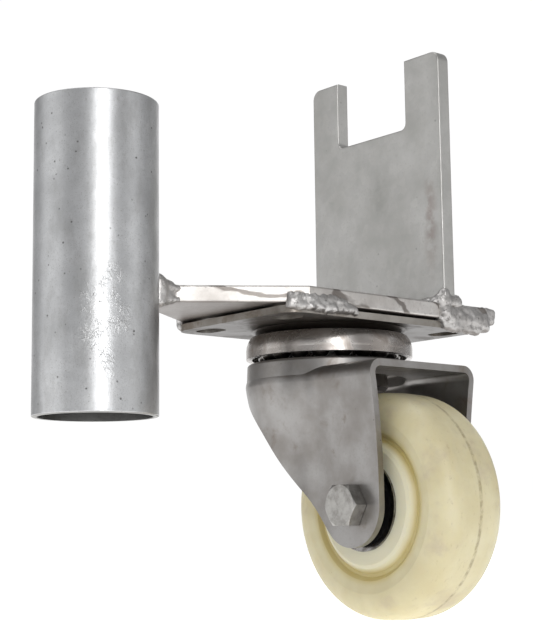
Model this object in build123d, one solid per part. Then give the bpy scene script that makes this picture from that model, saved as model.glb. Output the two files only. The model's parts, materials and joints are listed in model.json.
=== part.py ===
from build123d import *
import os
from math import cos, pi, radians, sin, sqrt, tan

# Gate wheel: a swivel caster under a bracket that slips over a gate's upright.
# Millimetres, +Z up. The origin is on the sleeve's axis at the sleeve's lower end.
# The arm runs from the sleeve along +X. The wheel trails towards -Y.

# ---------------------------------------------------------------- bracket
SLEEVE_OD = 42.4
SLEEVE_WALL = 2.0
SLEEVE_LENGTH = 107.0
SEAT_Z = 39.0              # top face of the caster's plate
ARM_LIFT = 1.0             # gap under the arm, bridged by the welds
ARM_THICKNESS = 6.0
ARM_NECK_X = 27.0          # where the arm starts to widen
ARM_SHOULDER_X = 65.0      # where it reaches its full width
ARM_END_X = 159.0
ARM_NECK_WIDTH = 18.0
ARM_WIDTH = 70.0
ARM_CORNER_R = 5.0
FORK_X = 131.3             # face of the fork plate on the sleeve's side
FORK_THICKNESS = 6.0
FORK_WIDTH = 72.0
FORK_TOP_Z = 144.0
FORK_CORNER_R = 4.0
NOTCH_WIDTH = 38.4
NOTCH_DEPTH = 27.4
NOTCH_OFFSET_Y = 1.7
NOTCH_CORNER_R = 2.5
WELD_LEG = 5.0
EDGE_R = 0.8               # rounding that the zinc leaves on plate edges
TUBE_EDGE_R = 0.5
WELD_SWEEP = 66.0          # degrees of the sleeve that its weld covers
PLATE_BEAD_R = 3.0
SIDE_BEAD_X = 69.0         # where the beads along the plate's sides start
SIDE_BEAD_LENGTH = 26.0

# ---------------------------------------------------------------- swivel head
SWIVEL_X = 105.3
PLATE_LENGTH = 97.0
PLATE_WIDTH = 68.0
PLATE_THICKNESS = 2.5
PLATE_CORNER_R = 8.0
SLOT_SPACING_X = 79.0
SLOT_SPACING_Y = 44.0
SLOT_WIDTH = 8.5
SLOT_LENGTH = 13.0
BOSS_DEPTH = 2.4
BOSS_R = 26.0
RING_R = 31.4
RING_TOP_R = 29.7
RING_SHEET = 2.2
RING_HEIGHT = 8.1
KINGPIN_R = 6.0
KINGPIN_HEAD_R = 9.5
KINGPIN_HEAD_HEIGHT = 2.1
RUNNING_GAP = 0.05
BALL_GAP = 0.3
UPPER_BALL_D = 7.6
UPPER_ROW_R = 23.5
UPPER_BALLS = 18
LOWER_BALL_D = 5.5
LOWER_ROW_R = 16.5
LOWER_BALLS = 17
CUP_SHEET = 2.5
CUP_R = 21.8
KINGPIN_NUT_AF = 17.0
KINGPIN_NUT_HEIGHT = 6.0

# ---------------------------------------------------------------- yoke
SHEET = 2.5
HEAD_TOP = -15.0           # below the seat
WEB_TOP = -18.5
HEAD_R = 31.0
HEAD_FLARE = 0.4           # the head widens by this from its top to its lower end
LEG_SIDE = 22.5            # half width of the legs at the axle
YOKE_LEVELS = [            # height, half width of the legs, radius of the round back
    (WEB_TOP, 26.6, 31.6),
    (-26.0, 25.7, 31.4),
    (-38.0, 24.2, 29.0),
    (-54.0, 22.9, 27.2),
    (-66.0, LEG_SIDE, 26.9),
    (-78.0, LEG_SIDE, 26.9),
    (-90.0, LEG_SIDE, 26.9),
]
YOKE_FRONT = 49.3
HEAD_SKIRT = -23.5         # lower edge of the skirt at the back
BEND_R = 5.0
BLEND_R = 16.0
TRAIL = 34.5
AXLE_DROP = 68.5
LEG_END_R = 14.4
BOLT_R = 5.0
BOLT_AF = 14.0
BOLT_HEAD_HEIGHT = 5.3
NUT_HEIGHT = 8.0
WASHER_R = 10.0
WASHER_THICKNESS = 1.6
BOLT_CLEARANCE = 0.1
SEAT_GAP = 0.15            # between the legs' curved faces and what seats on them

# ---------------------------------------------------------------- wheel
WHEEL_R = 40.0
TREAD_HALF = 15.6
CROWN_HALF = 6.5
CROWN_DROP = 0.25
SHOULDER_R = 9.1
GROOVE_R = 24.2
GROOVE_HALF = 13.7
HUB_HALF = 16.3
HUB_R = 22.0
BEARING_R = 16.0
BEARING_WIDTH = 10.0
BEARING_FACE = 17.2        # outer face of a bearing, from the wheel's middle
INNER_RACE_R = 9.2
OUTER_RACE_BORE_R = 13.0
SEAL_R = 14.4
SEAL_THICKNESS = 0.7
AXLE_SLEEVE_R = 6.0
BEARING_BALL_D = 3.6
BEARING_BALLS = 8
BEARING_ROW_R = 11.15
SPACER_R = 8.5

arm_bottom = SEAT_Z + ARM_LIFT
arm_top = arm_bottom + ARM_THICKNESS
leg_inner = LEG_SIDE - SHEET - SEAT_GAP
leg_outer = LEG_SIDE + SEAT_GAP
swivel = Pos(SWIVEL_X, 0, SEAT_Z)
axle = Pos(SWIVEL_X, -TRAIL, SEAT_Z - AXLE_DROP) * Rot(0, 90, 0)


def revolved(*points):
    """A ring turned about Z from the (radius, height) points of its section."""
    return revolve(make_face(Plane.XZ * Polyline(*points, close=True)), Axis.Z)


def cone_about_z(low_r, high_r, height):
    """A truncated cone that stands on the XY plane."""
    return Pos(0, 0, height / 2) * Cone(low_r, high_r, height)


def hexagon(across_flats, height, bore):
    """A hexagonal prism with a round bore, standing on the XY plane."""
    profile = RegularPolygon(across_flats / 2, 6, major_radius=False)
    if bore:
        profile -= Circle(bore)
    prism = extrude(profile, height)
    face_r = across_flats / 2
    trim = cone_about_z(face_r, face_r + height * tan(radians(60)), height)
    return prism & mirror(Pos(0, 0, height) * trim, Plane.XY.offset(height))


def ball_row(row_r, diameter, count, z):
    """Balls evenly spaced on a circle about Z."""
    return [
        Pos(row_r * cos(2 * pi * i / count), row_r * sin(2 * pi * i / count), z) * Sphere(diameter / 2)
        for i in range(count)
    ]


def ring_between(inner_r, outer_r, low, high):
    """Plain ring about Z between two heights."""
    return Pos(0, 0, low) * extrude(Circle(outer_r) - Circle(inner_r), high - low)


def flipped(shape):
    """The shape, or each shape of a list, mirrored to the wheel's other side."""
    if isinstance(shape, list):
        return [mirror(one, Plane.XY) for one in shape]
    return mirror(shape, Plane.XY)


def place(location, shape):
    """The shape, or each shape of a list, moved to its place."""
    if isinstance(shape, list):
        return [location * one for one in shape]
    return location * shape


# ---------------------------------------------------------------- bracket pieces
def make_sleeve():
    """The tube that slips over the gate's upright."""
    tube = extrude(Circle(SLEEVE_OD / 2) - Circle(SLEEVE_OD / 2 - SLEEVE_WALL), SLEEVE_LENGTH)
    rims = [e for e in tube.edges().filter_by(GeomType.CIRCLE) if e.radius > SLEEVE_OD / 2 - 0.1]
    return fillet(rims, TUBE_EDGE_R)


def make_arm():
    """Flat plate, narrow at the sleeve, with its near end cut to the sleeve's curve."""
    neck = ARM_NECK_WIDTH / 2
    side = ARM_WIDTH / 2
    outline = Polyline(
        (0, neck), (ARM_NECK_X, neck), (ARM_SHOULDER_X, side), (ARM_END_X, side),
        (ARM_END_X, -side), (ARM_SHOULDER_X, -side), (ARM_NECK_X, -neck), (0, -neck), close=True,
    )
    plate = make_face(outline)
    plate = fillet(plate.vertices().group_by(Axis.X)[-1], ARM_CORNER_R)
    plate -= Circle(SLEEVE_OD / 2)
    plate = extrude(plate, ARM_THICKNESS)
    rims = [e for e in plate.edges().filter_by(Plane.XY) if e.center().X > SLEEVE_OD / 2 + 2]
    return Pos(0, 0, arm_bottom) * fillet(rims, EDGE_R)


def make_fork():
    """Upright plate with a square notch in its top edge."""
    height = FORK_TOP_Z - arm_top
    plate = Pos(0, height / 2) * Rectangle(FORK_WIDTH, height)
    plate = fillet(plate.vertices().group_by(Axis.Y)[-1], FORK_CORNER_R)
    notch = Rectangle(NOTCH_WIDTH, 2 * NOTCH_DEPTH)
    notch = fillet(notch.vertices().group_by(Axis.Y)[0], NOTCH_CORNER_R)
    plate -= Pos(NOTCH_OFFSET_Y, height) * notch
    plate = extrude(plate, FORK_THICKNESS)
    rims = [e for e in plate.edges().filter_by(Plane.XY) if e.center().Y > 1]
    return Plane.YZ.offset(FORK_X) * Pos(0, arm_top) * fillet(rims, EDGE_R)


def make_sleeve_weld(sleeve, arm):
    """Fillet weld that wraps the end of the arm on the sleeve."""
    outer = SLEEVE_OD / 2
    section = Polyline(
        (outer - 1, arm_bottom - WELD_LEG), (outer, arm_bottom - WELD_LEG), (outer + WELD_LEG, arm_bottom),
        (outer + WELD_LEG, arm_top), (outer, arm_top + WELD_LEG), (outer - 1, arm_top + WELD_LEG), close=True,
    )
    bead = revolve(make_face(Plane.XZ * section), Axis.Z, WELD_SWEEP)
    return Rot(0, 0, -WELD_SWEEP / 2) * bead - sleeve - arm


def make_fork_weld():
    """One fillet bead along each face of the fork's foot."""
    bead = make_face(Polyline((0, 0), (WELD_LEG, 0), (0, WELD_LEG), close=True))
    run = extrude(Plane.XZ * bead, (ARM_WIDTH - WELD_LEG) / 2, both=True)
    far = Pos(FORK_X + FORK_THICKNESS, 0, arm_top) * run
    near = Pos(FORK_X, 0, arm_top) * mirror(run, Plane.YZ)
    return [near, far]


def make_plate_weld(arm, plate):
    """Beads along both edges of the caster's plate, and across its outer end."""
    z = SEAT_Z - 0.2
    end_x = SWIVEL_X + PLATE_LENGTH / 2
    along_x = extrude(Circle(PLATE_BEAD_R), SIDE_BEAD_LENGTH)
    along_y = extrude(Circle(PLATE_BEAD_R), ARM_WIDTH / 2 - ARM_CORNER_R - 1, both=True)
    beads = [Pos(end_x, 0, z) * Rot(90, 0, 0) * along_y]
    for y in (-PLATE_WIDTH / 2, PLATE_WIDTH / 2):
        beads.append(Pos(SIDE_BEAD_X, y, z) * Rot(0, 90, 0) * along_x)
    return [bead - arm - plate for bead in beads]


# ---------------------------------------------------------------- swivel head pieces
def make_top_plate():
    """Pressed plate with a shallow round boss and four slotted holes."""
    plate = RectangleRounded(PLATE_LENGTH, PLATE_WIDTH, PLATE_CORNER_R)
    for x in (-SLOT_SPACING_X / 2, SLOT_SPACING_X / 2):
        for y in (-SLOT_SPACING_Y / 2, SLOT_SPACING_Y / 2):
            plate -= Pos(x, y) * SlotOverall(SLOT_LENGTH, SLOT_WIDTH, rotation=90)
    rim = BOSS_R + BOSS_DEPTH + 1.0
    flat = Pos(0, 0, -PLATE_THICKNESS) * extrude(plate - Circle(rim - 0.5), PLATE_THICKNESS)
    under = -BOSS_DEPTH - PLATE_THICKNESS
    boss = revolved(
        (rim, 0), (rim - 1, 0), (BOSS_R - 1, -BOSS_DEPTH), (KINGPIN_R, -BOSS_DEPTH),
        (KINGPIN_R, under), (BOSS_R, under), (rim, -PLATE_THICKNESS),
    )
    return flat + boss


def make_race_ring():
    """Pressed cap over the upper balls, with a flared skirt."""
    top = -BOSS_DEPTH - PLATE_THICKNESS
    low = top - RING_HEIGHT
    inner_r = RING_R - RING_SHEET
    outside = ThreePointArc((RING_TOP_R, top), (RING_R - 0.6, top - 1.9), (RING_R, low + 2.0))
    rest = Polyline(
        (RING_R, low + 2.0), (RING_R, low), (inner_r, low), (inner_r, top - RING_SHEET - 2.0),
        (inner_r - 2.0, top - RING_SHEET), (KINGPIN_R, top - RING_SHEET), (KINGPIN_R, top), (RING_TOP_R, top),
    )
    return revolve(make_face(Plane.XZ * (outside + rest)), Axis.Z)


def make_kingpin(end_z):
    """Flat-headed pin that holds the swivel head together."""
    head = Pos(0, 0, -BOSS_DEPTH) * extrude(Circle(KINGPIN_HEAD_R), KINGPIN_HEAD_HEIGHT)
    length = -BOSS_DEPTH - end_z
    shank = Pos(0, 0, end_z) * extrude(Circle(KINGPIN_R), length)
    shank = chamfer(shank.faces().sort_by(Axis.Z)[0].edges(), 0.8)
    return head + shank


def make_race_cup(top_z):
    """Cup under the yoke's head that holds the lower balls up."""
    rim_r = CUP_R - 2.0
    rim_z = top_z + LOWER_BALL_D - 1.6
    return revolved(
        (KINGPIN_R, top_z), (rim_r, top_z), (rim_r, rim_z), (CUP_R, rim_z), (CUP_R, top_z - CUP_SHEET + 1.5),
        (CUP_R - 1.5, top_z - CUP_SHEET), (KINGPIN_R, top_z - CUP_SHEET),
    )


# ---------------------------------------------------------------- yoke
def yoke_outline(side, head_r, blend_r):
    """Plan of the yoke: a round back run smoothly into two flat sides."""
    reach = 2 * YOKE_FRONT
    plan = Circle(head_r) + Pos(0, -reach / 2) * Rectangle(2 * side, reach)
    creases = [v for v in plan.vertices() if -HEAD_R < v.Y < 0]
    return fillet(creases, blend_r)


def yoke_form(inset):
    """Solid form of the yoke, set in by the sheet for its inside, with its top edges rounded."""
    sections = []
    for z, side, back_r in YOKE_LEVELS:
        level = z - inset if z == WEB_TOP else z
        sections.append(Pos(0, 0, level) * yoke_outline(side - inset, back_r - inset, BLEND_R + inset))
    form = loft(sections)
    form = fillet(form.faces().sort_by(Axis.Z)[-1].edges(), BEND_R - inset)
    head_r = HEAD_R - inset
    flare_z = WEB_TOP - BEND_R - 0.5
    head = Pos(0, 0, flare_z) * cone_about_z(head_r + HEAD_FLARE, head_r, HEAD_TOP - inset - flare_z)
    head = fillet(head.faces().sort_by(Axis.Z)[-1].edges(), 1.2)
    return form + head


def leg_profile():
    """Side outline of the yoke, with its legs reaching down and forward to the axle."""
    top = -HEAD_TOP + 5
    back = HEAD_R + 3
    end_y = -TRAIL + 0.2
    end_z = -AXLE_DROP - 0.3
    skirt_end = (27.0, HEAD_SKIRT - 1.5)
    slope = Vector(-1.0, -1.2).normalized()
    foot = (end_y - slope.Y * LEG_END_R, end_z + slope.X * LEG_END_R)
    skirt = Polyline((back, top), (back, HEAD_SKIRT), skirt_end)
    sweep = Spline(
        skirt_end, (18.5, -30.5), (8.8, -39.3), (-0.2, -49.8), (-11.6, -63.3), foot,
        tangents=((-1.0, -0.25), (slope.X, slope.Y)),
    )
    end = ThreePointArc(foot, (end_y, end_z - LEG_END_R), (end_y - LEG_END_R, end_z))
    front = Polyline((end_y - LEG_END_R, end_z), (-YOKE_FRONT, HEAD_SKIRT), (-YOKE_FRONT, top), (back, top))
    return make_face(Plane.YZ * (skirt + sweep + end + front))


def make_yoke():
    """Pressed fork: round head, back skirt and two legs, open at the front and below."""
    outer = yoke_form(0) & extrude(leg_profile(), 2 * HEAD_R, both=True)
    inner = yoke_form(SHEET)
    kingpin_hole = Cylinder(KINGPIN_R + RUNNING_GAP, 4 * -HEAD_TOP)
    axle_hole = Pos(0, -TRAIL, -AXLE_DROP) * Rot(0, 90, 0) * Cylinder(BOLT_R + BOLT_CLEARANCE, 4 * LEG_SIDE)
    return outer - inner - kingpin_hole - axle_hole


# ---------------------------------------------------------------- axle pieces, along +X from the wheel's middle
def make_bolt():
    """Hexagon bolt with its head outside the leg on the sleeve's side."""
    end = leg_outer + WASHER_THICKNESS + NUT_HEIGHT + 2.5
    shank = Pos(0, 0, -leg_outer) * extrude(Circle(BOLT_R), leg_outer + end)
    shank = chamfer(shank.faces().sort_by(Axis.Z)[-1].edges(), 1.0)
    head = mirror(hexagon(BOLT_AF, BOLT_HEAD_HEIGHT, 0), Plane.XY)
    return shank + Pos(0, 0, -leg_outer) * Rot(0, 0, 30) * head


def make_wheel():
    """Nylon wheel with a crowned tread, a groove round the hub and two bearing seats."""
    shoulder = (CROWN_HALF, WHEEL_R - CROWN_DROP - SHOULDER_R)
    bend = SHOULDER_R * sqrt(0.5)
    seat = BEARING_FACE - BEARING_WIDTH
    half = Polyline((0, OUTER_RACE_BORE_R), (0, WHEEL_R), (CROWN_HALF, WHEEL_R - CROWN_DROP))
    half += ThreePointArc(
        (CROWN_HALF, WHEEL_R - CROWN_DROP), (shoulder[0] + bend, shoulder[1] + bend), (TREAD_HALF, shoulder[1]),
    )
    half += Polyline(
        (TREAD_HALF, shoulder[1]), (TREAD_HALF - 0.7, GROOVE_R + 2), (GROOVE_HALF, GROOVE_R + 0.6),
        (GROOVE_HALF, GROOVE_R - 0.6), (HUB_HALF - 0.6, HUB_R), (HUB_HALF, HUB_R - 1.2), (HUB_HALF, BEARING_R),
        (seat, BEARING_R), (seat, OUTER_RACE_BORE_R), (0, OUTER_RACE_BORE_R),
    )
    section = Plane(origin=(0, 0, 0), x_dir=(0, 0, 1), z_dir=(0, 1, 0)) * half
    solid = revolve(make_face(section), Axis.Z)
    return solid + mirror(solid, Plane.XY)


def make_outer_race():
    """Outer race, recessed at both faces for its seals."""
    low = BEARING_FACE - BEARING_WIDTH
    race = ring_between(OUTER_RACE_BORE_R, BEARING_R, low, BEARING_FACE)
    race -= ring_between(OUTER_RACE_BORE_R - 1, SEAL_R, low - 1, low + SEAL_THICKNESS)
    return race - ring_between(OUTER_RACE_BORE_R - 1, SEAL_R, BEARING_FACE - SEAL_THICKNESS, BEARING_FACE + 1)


def make_seals():
    """The two rubber seals of a bearing, set just inside its faces."""
    low = BEARING_FACE - BEARING_WIDTH
    bore = INNER_RACE_R + BALL_GAP
    inner = ring_between(bore, SEAL_R, low + 0.1, low + SEAL_THICKNESS)
    outer = ring_between(bore, SEAL_R, BEARING_FACE - SEAL_THICKNESS, BEARING_FACE - 0.1)
    return [inner, outer]


# ---------------------------------------------------------------- assembly
def bracket_nodes():
    """Everything welded together, the kingpin's fixed parts aside."""
    sleeve = make_sleeve()
    arm = make_arm()
    plate = swivel * make_top_plate()
    return {
        "sleeve_tube": sleeve,
        "arm_plate": arm,
        "fork_plate": make_fork(),
        "weld_sleeve": make_sleeve_weld(sleeve, arm),
        "weld_fork": make_fork_weld(),
        "weld_caster_plate": make_plate_weld(arm, plate),
        "caster_top_plate": plate,
    }


def swivel_nodes():
    """The swivel head and the yoke, set at the swivel's axis."""
    ring_top = -BOSS_DEPTH - PLATE_THICKNESS
    upper_z = ring_top - RING_SHEET - UPPER_BALL_D / 2
    head_under = HEAD_TOP - SHEET
    lower_z = head_under - BALL_GAP - LOWER_BALL_D / 2
    cup_top = lower_z - LOWER_BALL_D / 2
    nut_top = cup_top - CUP_SHEET
    nut = Pos(0, 0, nut_top - KINGPIN_NUT_HEIGHT) * hexagon(KINGPIN_NUT_AF, KINGPIN_NUT_HEIGHT, KINGPIN_R)
    nodes = {
        "race_ring": make_race_ring(),
        "kingpin": make_kingpin(nut_top - KINGPIN_NUT_HEIGHT - 1.2),
        "kingpin_nut": nut,
        "lower_race_cup": make_race_cup(cup_top),
        "upper_balls": ball_row(UPPER_ROW_R, UPPER_BALL_D, UPPER_BALLS, upper_z),
        "lower_balls": ball_row(LOWER_ROW_R, LOWER_BALL_D, LOWER_BALLS, lower_z),
        "yoke": make_yoke(),
    }
    return {name: place(swivel, shape) for name, shape in nodes.items()}


def axle_nodes():
    """The wheel, its bearings and the axle's fixings, set at the axle."""
    washer_z = leg_outer + WASHER_THICKNESS
    spacer = ring_between(AXLE_SLEEVE_R, SPACER_R, BEARING_FACE, leg_inner)
    inner_race = ring_between(AXLE_SLEEVE_R, INNER_RACE_R, BEARING_FACE - BEARING_WIDTH, BEARING_FACE)
    balls = ball_row(BEARING_ROW_R, BEARING_BALL_D, BEARING_BALLS, BEARING_FACE - BEARING_WIDTH / 2)
    nodes = {
        "axle_bolt": make_bolt(),
        "axle_nut": Pos(0, 0, washer_z) * hexagon(BOLT_AF, NUT_HEIGHT, BOLT_R),
        "axle_washer": ring_between(BOLT_R, WASHER_R, leg_outer, washer_z),
        "axle_sleeve": ring_between(BOLT_R, AXLE_SLEEVE_R, -leg_inner, leg_inner),
        "yoke_spacers": [spacer, mirror(spacer, Plane.XY)],
        "wheel_body": make_wheel(),
    }
    bearing = {"inner": inner_race, "outer": make_outer_race(), "balls": balls, "seals": make_seals()}
    for part, shape in bearing.items():
        nodes["bearing_" + part + "_far"] = shape
        nodes["bearing_" + part + "_near"] = flipped(shape)
    return {name: place(axle, shape) for name, shape in nodes.items()}


def main():
    os.makedirs("parts", exist_ok=True)
    nodes = {**bracket_nodes(), **swivel_nodes(), **axle_nodes()}
    for name, shape in nodes.items():
        whole = Compound(children=shape) if isinstance(shape, list) else shape
        export_step(whole, "parts/" + name + ".step")


main()
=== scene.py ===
import bpy
import bmesh
import json
from math import cos, pi, radians, sin
from mathutils import Matrix, Vector, noise


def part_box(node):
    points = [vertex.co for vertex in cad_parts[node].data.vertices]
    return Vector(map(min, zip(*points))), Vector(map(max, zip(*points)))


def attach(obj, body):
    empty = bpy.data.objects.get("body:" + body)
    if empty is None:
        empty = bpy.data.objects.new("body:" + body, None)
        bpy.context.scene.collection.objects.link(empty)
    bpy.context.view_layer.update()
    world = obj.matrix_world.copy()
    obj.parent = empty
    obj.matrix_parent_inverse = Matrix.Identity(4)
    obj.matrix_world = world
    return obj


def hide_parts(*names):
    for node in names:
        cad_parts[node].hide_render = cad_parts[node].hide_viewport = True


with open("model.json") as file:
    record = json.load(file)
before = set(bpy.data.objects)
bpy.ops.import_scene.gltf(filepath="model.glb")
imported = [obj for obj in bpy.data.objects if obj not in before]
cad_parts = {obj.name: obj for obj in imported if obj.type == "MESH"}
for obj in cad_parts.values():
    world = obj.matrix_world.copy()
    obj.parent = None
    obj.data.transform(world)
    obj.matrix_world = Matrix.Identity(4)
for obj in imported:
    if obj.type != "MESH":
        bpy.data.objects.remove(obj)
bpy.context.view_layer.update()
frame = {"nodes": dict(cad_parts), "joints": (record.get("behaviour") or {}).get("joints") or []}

MM = 0.001

# ---------------------------------------------------------------- places, all from the frame
SWIVEL = Vector(next(j["pos_m"] for j in frame["joints"] if j["name"] == "caster_swivel"))
AXLE = Vector(next(j["pos_m"] for j in frame["joints"] if j["name"] == "wheel_spin"))
TUBE_LOW, TUBE_HIGH = (Vector(c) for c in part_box("sleeve_tube"))
ARM_LOW, ARM_HIGH = (Vector(c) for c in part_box("arm_plate"))
FORK_LOW, FORK_HIGH = (Vector(c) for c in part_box("fork_plate"))
PLATE_LOW, PLATE_HIGH = (Vector(c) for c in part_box("caster_top_plate"))
WHEEL_LOW, WHEEL_HIGH = (Vector(c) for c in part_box("wheel_body"))
TUBE_R = TUBE_HIGH.x
CENTRE = Vector((0.07, 0, 0.04))
ARM_NECK = Vector((27 * MM, 9 * MM))
ARM_SHOULDER_X = 65 * MM

# ---------------------------------------------------------------- camera
CAMERA_AT = Vector((-0.27775, -0.42157, -0.03963))
CAMERA_HEADING = radians(50.11)
CAMERA_PITCH = radians(8.42)
CAMERA_ROLL = radians(-0.67)
FOCAL_RATIO = 1511.62 / 624


def make_camera():
    """Camera below the arm, looking up and along the gap between sleeve and fork."""
    ahead = Vector((cos(CAMERA_HEADING), sin(CAMERA_HEADING), 0))
    side = Vector((sin(CAMERA_HEADING), -cos(CAMERA_HEADING), 0))
    rise = Vector((0, 0, 1))
    forward = ahead * cos(CAMERA_PITCH) + rise * sin(CAMERA_PITCH)
    level_up = rise * cos(CAMERA_PITCH) - ahead * sin(CAMERA_PITCH)
    right = side * cos(CAMERA_ROLL) + level_up * sin(CAMERA_ROLL)
    up = level_up * cos(CAMERA_ROLL) - side * sin(CAMERA_ROLL)
    data = bpy.data.cameras.new("camera")
    data.sensor_width = 36
    data.lens = 36 * FOCAL_RATIO
    data.clip_start = 0.01
    camera = bpy.data.objects.new("camera", data)
    camera.matrix_world = Matrix((right, up, -forward)).transposed().to_4x4()
    camera.matrix_world.translation = CAMERA_AT
    bpy.context.scene.collection.objects.link(camera)
    bpy.context.scene.camera = camera
    return forward, right


# ---------------------------------------------------------------- node helpers
class Graph:
    """A material's node tree, with short ways to add and join nodes."""

    def __init__(self, name):
        self.material = bpy.data.materials.new(name)
        self.material.use_nodes = True
        self.tree = self.material.node_tree
        self.tree.nodes.clear()
        self.shader = self.add("ShaderNodeBsdfPrincipled")
        output = self.add("ShaderNodeOutputMaterial")
        self.tree.links.new(self.shader.outputs[0], output.inputs[0])
        self.coords = self.add("ShaderNodeTexCoord").outputs["Object"]

    def add(self, kind, **settings):
        node = self.tree.nodes.new(kind)
        for key, value in settings.items():
            setattr(node, key, value)
        return node

    def put(self, socket, value):
        """Joins a socket to a value: another socket, or a plain number or colour."""
        if isinstance(value, bpy.types.NodeSocket):
            self.tree.links.new(value, socket)
        else:
            socket.default_value = value

    def math(self, operation, *values, clamp=False):
        node = self.add("ShaderNodeMath", operation=operation, use_clamp=clamp)
        for socket, value in zip(node.inputs, values):
            self.put(socket, value)
        return node.outputs[0]

    def ramp(self, value, low, high):
        """0 at low, 1 at high, smooth between."""
        node = self.add("ShaderNodeMapRange", interpolation_type="SMOOTHSTEP")
        self.put(node.inputs["Value"], value)
        node.inputs["From Min"].default_value = low
        node.inputs["From Max"].default_value = high
        return node.outputs[0]

    def span(self, value, low, high):
        """Plain number range 0 to 1 mapped to low to high."""
        node = self.add("ShaderNodeMapRange")
        self.put(node.inputs["Value"], value)
        node.inputs["To Min"].default_value = low
        node.inputs["To Max"].default_value = high
        return node.outputs[0]

    def mix(self, factor, first, second, blend="MIX"):
        node = self.add("ShaderNodeMix", data_type="RGBA", blend_type=blend)
        self.put(node.inputs["Factor"], factor)
        self.put(node.inputs["A"], first)
        self.put(node.inputs["B"], second)
        return node.outputs["Result"]

    def noise(self, size, detail=3.0, roughness=0.5, distortion=0.0, coords=None):
        """Noise with features of about that size in metres."""
        node = self.add("ShaderNodeTexNoise")
        self.put(node.inputs["Vector"], coords or self.coords)
        node.inputs["Scale"].default_value = 1 / size
        node.inputs["Detail"].default_value = detail
        node.inputs["Roughness"].default_value = roughness
        node.inputs["Distortion"].default_value = distortion
        return node.outputs["Fac"]

    def cells(self, size, output="Distance", feature="F1", coords=None):
        node = self.add("ShaderNodeTexVoronoi", feature=feature)
        self.put(node.inputs["Vector"], coords or self.coords)
        node.inputs["Scale"].default_value = 1 / size
        return node.outputs[output]

    def stretched(self, x, y, z, offset=(0, 0, 0)):
        """Object coordinates moved by an offset, then scaled along each axis."""
        node = self.add("ShaderNodeMapping", vector_type="TEXTURE")
        self.put(node.inputs["Vector"], self.coords)
        node.inputs["Location"].default_value = offset
        node.inputs["Scale"].default_value = (x, y, z)
        return node.outputs[0]

    def part_of(self, vector):
        """X, Y and Z of a vector."""
        node = self.add("ShaderNodeSeparateXYZ")
        self.put(node.inputs[0], vector)
        return node.outputs

    def spot(self, centre, radii):
        """1 at a place and 0 outside its radii, soft between."""
        near = self.stretched(*radii, offset=centre)
        length = self.add("ShaderNodeVectorMath", operation="LENGTH")
        self.put(length.inputs[0], near)
        return self.ramp(length.outputs["Value"], 1.0, 0.0)

    def bump(self, height, strength, depth, under=None):
        node = self.add("ShaderNodeBump")
        node.inputs["Strength"].default_value = strength
        node.inputs["Distance"].default_value = depth
        self.put(node.inputs["Height"], height)
        if under:
            self.put(node.inputs["Normal"], under)
        return node.outputs[0]

    def facing(self, axis):
        """How much the surface faces along an axis: its normal's X, Y or Z part."""
        geometry = self.add("ShaderNodeTexCoord")
        return self.part_of(geometry.outputs["Normal"])[axis]

    def finish(self, color, rough, metallic, normal=None, **plain):
        self.put(self.shader.inputs["Base Color"], color)
        self.put(self.shader.inputs["Roughness"], rough)
        self.shader.inputs["Metallic"].default_value = metallic
        if normal:
            self.put(self.shader.inputs["Normal"], normal)
        for key, value in plain.items():
            self.shader.inputs[key.replace("_", " ")].default_value = value
        return self.material


def rgb(red, green, blue):
    """A colour from 0-255 display values."""
    def linear(value):
        value /= 255
        return value / 12.92 if value < 0.04045 else ((value + 0.055) / 1.055) ** 2.4
    return (linear(red), linear(green), linear(blue), 1)


# ---------------------------------------------------------------- materials
def galvanised_base(g, light, dark, underside, speck_amount=1.0):
    """Dull zinc: clouds, faint spangle, dark specks, and painted shade where it faces down."""
    clouds = g.noise(22 * MM, 5, 0.6)
    color = g.mix(g.ramp(clouds, 0.3, 0.72), light, dark)
    spangle = g.part_of(g.cells(3.4 * MM, "Color"))[0]
    color = g.mix(g.span(spangle, 0.0, 0.10), color, rgb(120, 122, 124))
    grain = g.noise(1.1 * MM, 3, 0.7)
    color = g.mix(g.ramp(grain, 0.52, 0.78), color, dark)
    specks = g.ramp(g.cells(5.2 * MM), 0.105, 0.055)
    sparse = g.ramp(g.noise(9 * MM, 2), 0.52, 0.60)
    color = g.mix(g.math("MULTIPLY", g.math("MULTIPLY", specks, sparse), speck_amount), color, rgb(78, 76, 74))
    # painted shade: faces that point down are mixed toward the underside colour
    down = g.ramp(g.facing(2), -0.35, -0.85)
    color = g.mix(g.math("MULTIPLY", down, 0.85), color, underside)
    rough = g.math("ADD", g.span(clouds, 0.30, 0.44), g.span(grain, -0.05, 0.07))
    height = g.math("ADD", g.math("MULTIPLY", g.noise(7 * MM, 4, 0.55), 0.8), g.math("MULTIPLY", grain, 0.18))
    return color, rough, height, down


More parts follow.
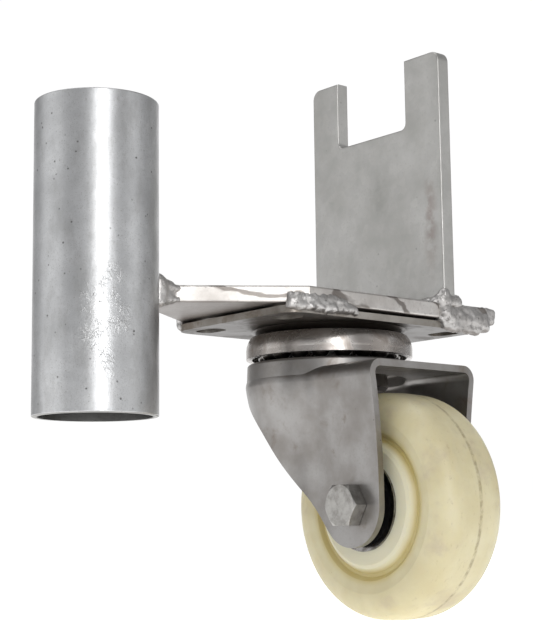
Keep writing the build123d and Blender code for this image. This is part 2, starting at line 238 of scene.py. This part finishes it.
def make_tube_material():
    """Sleeve: bright zinc with specks, wrinkled zinc skin near its lower end, and painted shade inside the tube."""
    g = Graph("galvanised_tube")
    color, rough, height, _ = galvanised_base(g, rgb(214, 215, 216), rgb(186, 187, 188), rgb(120, 118, 112))
    front = Vector((CAMERA_AT.x, CAMERA_AT.y, 0)).normalized() * TUBE_R
    low = g.spot((front.x + 3 * MM, front.y - 2 * MM, 30 * MM), (14 * MM, 14 * MM, 27 * MM))
    patch = g.ramp(g.noise(7 * MM, 3), 0.44, 0.60)
    wrinkle = g.cells(3.0 * MM, "Distance", "DISTANCE_TO_EDGE", coords=warped(g, 3 * MM, 4.5 * MM))
    fine = g.cells(1.3 * MM, "Distance", "DISTANCE_TO_EDGE", coords=warped(g, 2 * MM, 2.5 * MM))
    both = g.math("MAXIMUM", g.ramp(wrinkle, 0.05, 0.0), g.math("MULTIPLY", g.ramp(fine, 0.06, 0.0), 0.5))
    lines = g.math("MULTIPLY", g.math("MULTIPLY", both, g.ramp(low, 0.05, 0.5)), patch)
    color = g.mix(g.math("MULTIPLY", lines, 0.55), color, rgb(120, 118, 114))
    height = g.math("ADD", height, g.math("MULTIPLY", lines, 0.5))
    sparkle = g.noise(0.45 * MM, 2, 0.8)
    color = g.mix(g.ramp(sparkle, 0.54, 0.78), color, rgb(158, 157, 154))
    streaks = g.noise(9 * MM, 6, 0.7, coords=g.stretched(1, 1, 2.6))
    color = g.mix(g.math("MULTIPLY", g.ramp(streaks, 0.48, 0.66), 0.30), color, rgb(150, 149, 147))
    spots = g.math("MULTIPLY", g.ramp(g.cells(3.1 * MM), 0.16, 0.07), g.ramp(g.noise(5 * MM, 2), 0.50, 0.58))
    color = g.mix(g.math("MULTIPLY", spots, 0.75), color, rgb(70, 68, 66))
    # painted shade: the inner wall of the tube and the inner rim of its ends are darkened
    x, y = g.part_of(g.coords)[0:2]
    radius = g.math("SQRT", g.math("ADD", g.math("MULTIPLY", x, x), g.math("MULTIPLY", y, y)))
    bore_shade = g.ramp(radius, TUBE_R - 1.2 * MM, TUBE_R - 1.7 * MM)
    color = g.mix(g.math("MULTIPLY", bore_shade, 0.85), color, rgb(84, 83, 80))
    height = g.math("ADD", height, g.math("MULTIPLY", sparkle, 0.10))
    normal = g.bump(height, 0.35, 0.35 * MM)
    return g.finish(color, g.math("SUBTRACT", rough, 0.03), 0.92, normal)


def warped(g, size, amount):
    """Object coordinates pushed about by noise of one size."""
    node = g.add("ShaderNodeTexNoise")
    g.put(node.inputs["Vector"], g.coords)
    node.inputs["Scale"].default_value = 1 / size
    push = g.add("ShaderNodeVectorMath", operation="MULTIPLY_ADD")
    g.put(push.inputs[0], node.outputs["Color"])
    push.inputs[1].default_value = (amount, amount, amount)
    g.put(push.inputs[2], g.coords)
    return push.outputs[0]


def make_arm_material():
    """Arm: bright edges with dark run lines, and painted shade making it dark brown-grey underneath."""
    g = Graph("galvanised_arm")
    color, rough, height, down = galvanised_base(
        g, rgb(218, 215, 211), rgb(178, 173, 168), rgb(106, 98, 93), 0.6)
    runs = g.add("ShaderNodeTexWave", wave_type="BANDS", bands_direction="DIAGONAL")
    g.put(runs.inputs["Vector"], g.stretched(1, 1, 0.45))
    runs.inputs["Scale"].default_value = 26
    runs.inputs["Distortion"].default_value = 6
    runs.inputs["Detail"].default_value = 3
    runs.inputs["Detail Scale"].default_value = 1.6
    dark_runs = g.math("MULTIPLY", g.ramp(runs.outputs["Fac"], 0.24, 0.04), g.math("SUBTRACT", 1.0, down))
    color = g.mix(g.math("MULTIPLY", dark_runs, 0.75), color, rgb(92, 84, 78))
    height = g.math("ADD", height, g.math("MULTIPLY", dark_runs, -0.4))
    return g.finish(color, rough, 0.9, g.bump(height, 0.45, 0.4 * MM))


def make_fork_material():
    """Fork plate: mid grey zinc with a faint smudge and a brown streak along one edge."""
    g = Graph("galvanised_fork")
    color, rough, height, _ = galvanised_base(g, rgb(196, 195, 192), rgb(178, 177, 173), rgb(120, 118, 112), 0.35)
    smudge_at = (FORK_LOW.x, -2 * MM, FORK_HIGH.z - 52 * MM)
    smudge = g.math("MULTIPLY", g.spot(smudge_at, (12 * MM, 10 * MM, 15 * MM)), g.span(g.noise(2.5 * MM, 4), 0.3, 1.0))
    color = g.mix(g.math("MULTIPLY", smudge, 0.6), color, rgb(128, 128, 122))
    streak_at = (FORK_LOW.x, FORK_LOW.y + 6 * MM, FORK_HIGH.z - 66 * MM)
    streak = g.math("MULTIPLY", g.spot(streak_at, (12 * MM, 5 * MM, 30 * MM)), g.ramp(g.noise(5 * MM, 5), 0.4, 0.6))
    color = g.mix(g.math("MULTIPLY", streak, 0.5), color, rgb(134, 112, 104))
    return g.finish(color, rough, 0.85, g.bump(height, 0.25, 0.35 * MM))


def make_weld_material():
    """Weld metal under zinc: bright lumps with dark pits between them."""
    g = Graph("galvanised_weld")
    color, rough, height, _ = galvanised_base(g, rgb(206, 204, 202), rgb(160, 157, 154), rgb(128, 122, 118), 0.8)
    pits = g.ramp(g.noise(1.6 * MM, 4, 0.7), 0.56, 0.70)
    color = g.mix(g.math("MULTIPLY", pits, 0.6), color, rgb(86, 82, 80))
    height = g.math("SUBTRACT", height, g.math("MULTIPLY", pits, 0.5))
    return g.finish(color, rough, 0.88, g.bump(height, 0.6, 0.5 * MM))


def make_zinc_material(name, light, dark, stain, stain_low, stain_high, under=None, gloss=0.0):
    """Zinc-plated pressing: smooth blue-grey with brown stains, a fine grain and, when an under colour is given,
    painted shade on faces that point down.
    """
    g = Graph(name)
    clouds = g.noise(16 * MM, 4, 0.55)
    color = g.mix(g.ramp(clouds, 0.3, 0.7), light, dark)
    stains = g.ramp(g.noise(11 * MM, 6, 0.65, 0.6), stain_low, stain_high)
    color = g.mix(g.math("MULTIPLY", stains, 0.6), color, stain)
    grain = g.noise(0.9 * MM, 3, 0.7)
    color = g.mix(g.math("MULTIPLY", g.ramp(grain, 0.5, 0.75), 0.35), color, dark)
    dots = g.math("MULTIPLY", g.ramp(g.cells(4 * MM), 0.09, 0.04), g.ramp(g.noise(8 * MM, 2), 0.55, 0.62))
    color = g.mix(g.math("MULTIPLY", dots, 0.7), color, rgb(84, 78, 74))
    if under:
        # painted shade: faces that point down are darkened toward the under colour
        down = g.ramp(g.facing(2), -0.25, -0.8)
        color = g.mix(g.math("MULTIPLY", down, 0.94), color, under)
    rough = g.math("ADD", g.span(clouds, 0.28 - gloss, 0.40 - gloss), g.span(stains, 0.0, 0.12))
    height = g.math("ADD", g.noise(5 * MM, 3), g.math("MULTIPLY", grain, 0.12))
    return g.finish(color, rough, 0.9, g.bump(height, 0.15, 0.3 * MM))


def make_nylon_material():
    """Ivory nylon: yellower in the groove, whiter at the hub, scuffed and dusty on the tread."""
    g = Graph("nylon_wheel")
    x, y, z = g.part_of(g.stretched(1, 1, 1, offset=AXLE))[0:3]
    radius = g.math("SQRT", g.math("ADD", g.math("MULTIPLY", y, y), g.math("MULTIPLY", z, z)))
    clouds = g.noise(13 * MM, 4, 0.55)
    color = g.mix(g.ramp(clouds, 0.3, 0.7), rgb(208, 200, 166), rgb(199, 189, 152))
    hub = g.ramp(radius, 23.4 * MM, 21.4 * MM)
    color = g.mix(g.math("MULTIPLY", hub, 0.85), color, rgb(206, 202, 178))
    groove = g.math("MULTIPLY", g.ramp(radius, 22.2 * MM, 23.8 * MM), g.ramp(radius, 28.6 * MM, 25.0 * MM))
    color = g.mix(g.math("MULTIPLY", groove, g.span(g.noise(9 * MM, 3), 0.5, 0.9)), color, rgb(180, 160, 84))
    tread = g.ramp(radius, 33.5 * MM, 38.5 * MM)
    scuffs = g.ramp(g.noise(3.2 * MM, 6, 0.75, coords=g.stretched(0.4, 1, 1)), 0.56, 0.74)
    color = g.mix(g.math("MULTIPLY", g.math("MULTIPLY", scuffs, tread), 0.6), color, rgb(150, 136, 108))
    dust = g.ramp(g.noise(19 * MM, 5, 0.6), 0.55, 0.72)
    color = g.mix(g.math("MULTIPLY", dust, 0.45), color, rgb(172, 158, 140))
    seam = g.ramp(g.math("ABSOLUTE", g.math("SUBTRACT", x, 0.3 * MM)), 1.1 * MM, 0.3 * MM)
    broken = g.ramp(g.noise(3 * MM, 5, 0.7), 0.34, 0.62)
    color = g.mix(g.math("MULTIPLY", g.math("MULTIPLY", seam, broken), 0.6), color, rgb(122, 106, 74))
    dots = g.math("MULTIPLY", g.ramp(g.cells(6 * MM), 0.07, 0.03), g.ramp(g.noise(7 * MM, 2), 0.56, 0.62))
    color = g.mix(g.math("MULTIPLY", dots, 0.6), color, rgb(140, 118, 82))
    rough = g.math("ADD", g.span(clouds, 0.36, 0.46), g.math("MULTIPLY", scuffs, 0.12))
    height = g.math("ADD", g.noise(4 * MM, 3), g.math("MULTIPLY", g.noise(0.6 * MM, 2), 0.2))
    height = g.math("SUBTRACT", height, g.math("MULTIPLY", seam, 0.8))
    return g.finish(
        color, rough, 0.0, g.bump(height, 0.12, 0.3 * MM),
        Subsurface_Weight=0.35, Subsurface_Radius=(1.0, 0.75, 0.4), Subsurface_Scale=5 * MM, IOR=1.53,
    )


def make_bolt_material():
    """Zinc-plated fastener: clouded grey with a light grain and a little grime."""
    g = Graph("zinc_fastener")
    clouds = g.noise(4 * MM, 4, 0.6)
    color = g.mix(g.ramp(clouds, 0.35, 0.7), rgb(174, 172, 168), rgb(136, 133, 129))
    grime = g.ramp(g.noise(2.2 * MM, 5, 0.7), 0.60, 0.72)
    color = g.mix(g.math("MULTIPLY", grime, 0.5), color, rgb(104, 98, 90))
    height = g.math("ADD", g.noise(1.2 * MM, 3), g.math("MULTIPLY", clouds, 0.6))
    return g.finish(color, g.span(clouds, 0.26, 0.40), 0.95, g.bump(height, 0.25, 0.2 * MM))


def make_steel_material():
    """Ground bearing steel with a film of grease and a fine grain."""
    g = Graph("bearing_steel")
    film = g.noise(3 * MM, 4, 0.6)
    color = g.mix(g.ramp(film, 0.35, 0.7), rgb(150, 148, 146), rgb(92, 88, 84))
    fine = g.noise(0.5 * MM, 2)
    return g.finish(color, g.span(film, 0.14, 0.26), 1.0, g.bump(fine, 0.08, 0.1 * MM))


def make_seal_material():
    """Black rubber seal, glossy with a film of grease and fine dust."""
    g = Graph("black_seal")
    dust = g.noise(2 * MM, 5, 0.7)
    color = g.mix(g.ramp(dust, 0.5, 0.8), rgb(18, 18, 19), rgb(52, 50, 48))
    return g.finish(color, g.span(dust, 0.12, 0.30), 0.0, g.bump(dust, 0.15, 0.15 * MM))


# ---------------------------------------------------------------- weld pieces
def lumps(name, drops, body, material, replaced, voxel, rough, seed):
    """One closed lumpy piece, run together from round drops of weld metal: (centre, radius) pairs."""
    mesh = bpy.data.meshes.new(name)
    form = bmesh.new()
    for centre, radius in drops:
        place = Matrix.Translation(centre)
        bmesh.ops.create_icosphere(form, subdivisions=2, radius=radius, matrix=place)
    form.to_mesh(mesh)
    form.free()
    piece = bpy.data.objects.new(name, mesh)
    bpy.context.scene.collection.objects.link(piece)
    join = piece.modifiers.new("join", "REMESH")
    join.mode = "VOXEL"
    join.voxel_size = voxel
    melt = piece.modifiers.new("melt", "SMOOTH")
    melt.factor = 0.6
    melt.iterations = 7
    evaluated = piece.evaluated_get(bpy.context.evaluated_depsgraph_get())
    final = bpy.data.meshes.new_from_object(evaluated)
    piece.modifiers.clear()
    piece.data = final
    final.name = name
    for vertex in final.vertices:
        push = noise.noise(vertex.co * 420 + Vector((seed, 0, 0))) + 0.5 * noise.noise(vertex.co * 1100)
        vertex.co += vertex.normal * push * rough
    for polygon in final.polygons:
        polygon.use_smooth = True
    final.materials.clear()
    final.materials.append(material)
    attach(piece, body)
    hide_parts(*replaced)


def wander(start, end, count, radius, jitter, seed):
    """Drops along a straight run, each a little off the line and of its own size."""
    drops = []
    for i in range(count):
        along = i / max(1, count - 1)
        centre = Vector(start).lerp(Vector(end), along)
        shake = noise.noise_vector(Vector((i * 1.7 + seed, seed * 3.1, 0.4)))
        size = radius * (1 + jitter * 0.6 * noise.noise(Vector((i * 0.9, seed * 2.3, 5.0))))
        drops.append((centre + shake * radius * jitter, size))
    return drops


def make_sleeve_weld(material):
    """Concave fillet that climbs the sleeve above the arm, wraps its neck and closes underneath."""
    top = ARM_HIGH.z
    low = ARM_LOW.z
    rows = (  # out from the sleeve, above the arm's top or below its underside, drop radius
        (0.0, 2.0, 1.5), (0.8, 0.8, 2.1), (2.6, -0.3, 2.0), (4.6, -1.0, 1.6), (6.4, -1.3, 1.4), (8.0, -1.3, 1.2),
    )
    drops = []
    for out, rise, radius in rows:
        for i in range(13):
            turn = radians(-25 + 25 * i / 6)
            reach = TUBE_R + out * MM
            across = min(ARM_NECK.y, reach * abs(sin(turn))) * (1 if turn > 0 else -1)
            along = (reach ** 2 - across ** 2) ** 0.5
            shake = 0.35 * MM * noise.noise(Vector((i * 1.3, out, 2.0)))
            drops.append((Vector((along, across, top + rise * MM + shake)), radius * MM))
            drops.append((Vector((along, across, low - 0.55 * rise * MM + shake)), 0.8 * radius * MM))
    for side in (-1, 1):
        for out, radius in ((0.3, 2.8), (2.0, 2.1), (3.8, 1.6), (5.4, 1.2)):
            for i in range(7):
                z = low + (top - low) * i / 6
                place = Vector((TUBE_R - 1.5 * MM + out * MM, side * (ARM_NECK.y - 0.4 * MM), z))
                drops.append((place, radius * MM))
    lumps("weld_sleeve_bead", drops, "bracket", material, ["weld_sleeve"], 0.5 * MM, 0.22 * MM, 1)


def make_fork_weld(material):
    """Fillets along both faces of the fork's foot, with a heavier drop at the near corner."""
    low_y = FORK_LOW.y + 2.5 * MM
    high_y = FORK_HIGH.y - 2.5 * MM
    z = ARM_HIGH.z + 0.3 * MM
    drops = []
    for face, out in ((FORK_LOW.x, -1), (FORK_HIGH.x, 1)):
        for step, radius in ((0.3, 2.3), (2.0, 1.7), (3.6, 1.2)):
            x = face + out * step * MM
            drops += wander((x, low_y, z), (x, high_y, z), 64, radius * MM, 0.30, step + out)
    for y in (low_y - 0.8 * MM, high_y + 0.8 * MM):
        drops += wander((FORK_LOW.x - 1 * MM, y, z), (FORK_HIGH.x + 1.5 * MM, y, z + 0.6 * MM), 14, 2.9 * MM, 0.3, 4)
    near = Vector((FORK_LOW.x + 0.5 * MM, FORK_LOW.y + 0.6 * MM, ARM_HIGH.z))
    drops += wander(near + Vector((0, 0, 3.4 * MM)), near - Vector((0, 0, 5 * MM)), 9, 2.6 * MM, 0.35, 21)
    lumps("weld_fork_bead", drops, "bracket", material, ["weld_fork"], 0.55 * MM, 0.30 * MM, 2)


def make_plate_weld(material):
    """Rough weld between the arm and the caster's plate, heaped at the arm's outer corners."""
    edge = -PLATE_LOW.y
    z = ARM_LOW.z - 0.4 * MM
    drops = []
    for side in (-1, 1):
        y = side * edge
        for rise, radius in ((-0.4, 1.9), (1.6, 1.7), (3.0, 1.2)):
            drops += wander((59 * MM, y - side * 2.4 * MM, z + rise * MM), (66 * MM, y, z + rise * MM), 14,
                            radius * MM, 0.5, 5 + side + rise)
            drops += wander((66 * MM, y, z + rise * MM), ((86 - 3 * rise) * MM, y + side * 0.3 * MM, z + rise * MM), 30,
                            radius * MM, 0.5, 9 + side + rise)
        for row, (rise, radius, reach) in enumerate(((4.8, 1.9, 150), (2.4, 2.6, 154), (0.2, 2.7, 155), (-1.8, 2.2, 150))):
            start = Vector((132 * MM, side * (edge + 0.2 * MM), z + rise * MM))
            end = Vector((reach * MM, start.y, z + (rise - 0.6) * MM))
            drops += wander(start, end, 30, radius * MM, 0.45, 30 + 3 * row + side)
        for rise in (2.0, 3.6, 5.0):
            tab = Vector((155 * MM, side * (edge - 1.5 * MM), ARM_LOW.z + rise * MM - 0.4 * MM))
            drops += wander(tab, tab + Vector((5.4 * MM, 0, 0)), 10, 1.9 * MM, 0.1, 40 + rise)
    end_x = PLATE_HIGH.x + 0.4 * MM
    drops += wander((end_x, -edge + 6 * MM, z), (end_x, edge - 6 * MM, z), 64, 2.1 * MM, 0.35, 8)
    lumps("weld_plate_bead", drops, "bracket", material, ["weld_caster_plate"], 0.5 * MM, 0.36 * MM, 3)


# ---------------------------------------------------------------- stage
def make_world(forward):
    """Even studio surround: white behind the object, softer grey on the other sides."""
    world = bpy.data.worlds.new("studio")
    world.use_nodes = True
    tree = world.node_tree
    tree.nodes.clear()
    output = tree.nodes.new("ShaderNodeOutputWorld")
    background = tree.nodes.new("ShaderNodeBackground")
    coords = tree.nodes.new("ShaderNodeTexCoord")
    toward = tree.nodes.new("ShaderNodeVectorMath")
    toward.operation = "DOT_PRODUCT"
    toward.inputs[1].default_value = forward
    spread = tree.nodes.new("ShaderNodeMapRange")
    spread.interpolation_type = "SMOOTHSTEP"
    spread.inputs["From Min"].default_value = 0.80
    spread.inputs["From Max"].default_value = 0.955
    mix = tree.nodes.new("ShaderNodeMix")
    mix.data_type = "RGBA"
    mix.inputs["A"].default_value = (0.34, 0.34, 0.345, 1)
    mix.inputs["B"].default_value = (1.02, 1.02, 1.02, 1)
    tree.links.new(coords.outputs["Generated"], toward.inputs[0])
    tree.links.new(toward.outputs["Value"], spread.inputs["Value"])
    tree.links.new(spread.outputs[0], mix.inputs["Factor"])
    tree.links.new(mix.outputs["Result"], background.inputs["Color"])
    tree.links.new(background.outputs[0], output.inputs[0])
    bpy.context.scene.world = world


def make_light(name, at, aim, size, power, tint=(1, 1, 1)):
    data = bpy.data.lights.new(name, "AREA")
    data.shape = "RECTANGLE"
    data.size = size[0]
    data.size_y = size[1]
    data.energy = power
    data.color = tint
    light = bpy.data.objects.new(name, data)
    light.location = at
    light.rotation_euler = (Vector(aim) - Vector(at)).to_track_quat("-Z", "Y").to_euler()
    bpy.context.scene.collection.objects.link(light)


def make_floor():
    """Pale floor that the wheel stands on."""
    mesh = bpy.data.meshes.new("floor")
    form = bmesh.new()
    bmesh.ops.create_grid(form, x_segments=1, y_segments=1, size=60)
    form.to_mesh(mesh)
    form.free()
    floor = bpy.data.objects.new("floor", mesh)
    floor.location = (0, 0, WHEEL_LOW.z - 0.3 * MM)
    bpy.context.scene.collection.objects.link(floor)
    g = Graph("pale_floor")
    g.finish(g.mix(g.noise(0.3, 2), (0.86, 0.86, 0.86, 1), (0.84, 0.84, 0.84, 1)), 0.9, 0.0)
    g.shader.inputs["Emission Color"].default_value = (1, 1, 1, 1)
    g.shader.inputs["Emission Strength"].default_value = 0.75
    mesh.materials.append(g.material)


def around(forward, right, turn, rise, reach):
    """A point round the object, turned right from the camera's side and raised, in degrees."""
    back = -Vector((forward.x, forward.y, 0)).normalized()
    side = Vector((right.x, right.y, 0)).normalized()
    level = back * cos(radians(turn)) + side * sin(radians(turn))
    return CENTRE + (level * cos(radians(rise)) + Vector((0, 0, sin(radians(rise))))) * reach


def light_scene(forward, right):
    """A tall soft key just right of the camera, a wide fill at the left, and a soft top light."""
    make_light("key", around(forward, right, 12, 16, 0.80), CENTRE, (0.30, 0.62), 2.05)
    make_light("left_fill", around(forward, right, -80, 10, 1.0), CENTRE, (0.9, 0.9), 1.35)
    make_light("right_fill", around(forward, right, 75, 15, 1.2), CENTRE, (0.6, 0.6), 0.55)
    make_light("top", CENTRE + Vector((-0.1, 0.1, 0.9)), CENTRE, (0.8, 0.8), 2.2)


# ---------------------------------------------------------------- finishes on the CAD nodes
def dress(material, *nodes):
    """Gives CAD nodes a finish."""
    for name in nodes:
        for slot in frame["nodes"][name].material_slots:
            slot.material = material


def main():
    forward, right = make_camera()
    make_world(forward)
    make_floor()
    light_scene(forward, right)
    bpy.context.scene.view_settings.view_transform = "Standard"
    weld = make_weld_material()
    dress(make_tube_material(), "sleeve_tube")
    dress(make_arm_material(), "arm_plate")
    dress(make_fork_material(), "fork_plate")
    # The plate's under colour is painted shade on its downward faces.
    plate = make_zinc_material("zinc_plate", rgb(168, 164, 158), rgb(140, 135, 128), rgb(104, 90, 76), 0.48, 0.66,
                               under=rgb(62, 56, 51))
    ring = make_zinc_material("zinc_ring", rgb(206, 202, 198), rgb(158, 151, 145), rgb(112, 94, 80), 0.50, 0.68,
                              gloss=0.08)
    yoke = make_zinc_material("zinc_yoke", rgb(158, 156, 154), rgb(134, 130, 126), rgb(112, 98, 86), 0.54, 0.74)
    dress(plate, "caster_top_plate", "lower_race_cup")
    dress(ring, "race_ring")
    dress(yoke, "yoke")
    dress(make_nylon_material(), "wheel_body")
    dress(make_bolt_material(), "axle_bolt", "axle_nut", "axle_washer", "kingpin_nut", "kingpin")
    dress(make_steel_material(), "bearing_inner_near", "bearing_inner_far", "bearing_outer_near", "bearing_outer_far",
          "bearing_balls_near", "bearing_balls_far", "upper_balls", "lower_balls", "axle_sleeve", "yoke_spacers")
    dress(make_seal_material(), "bearing_seals_near", "bearing_seals_far")
    make_sleeve_weld(weld)
    make_fork_weld(weld)
    make_plate_weld(weld)


main()
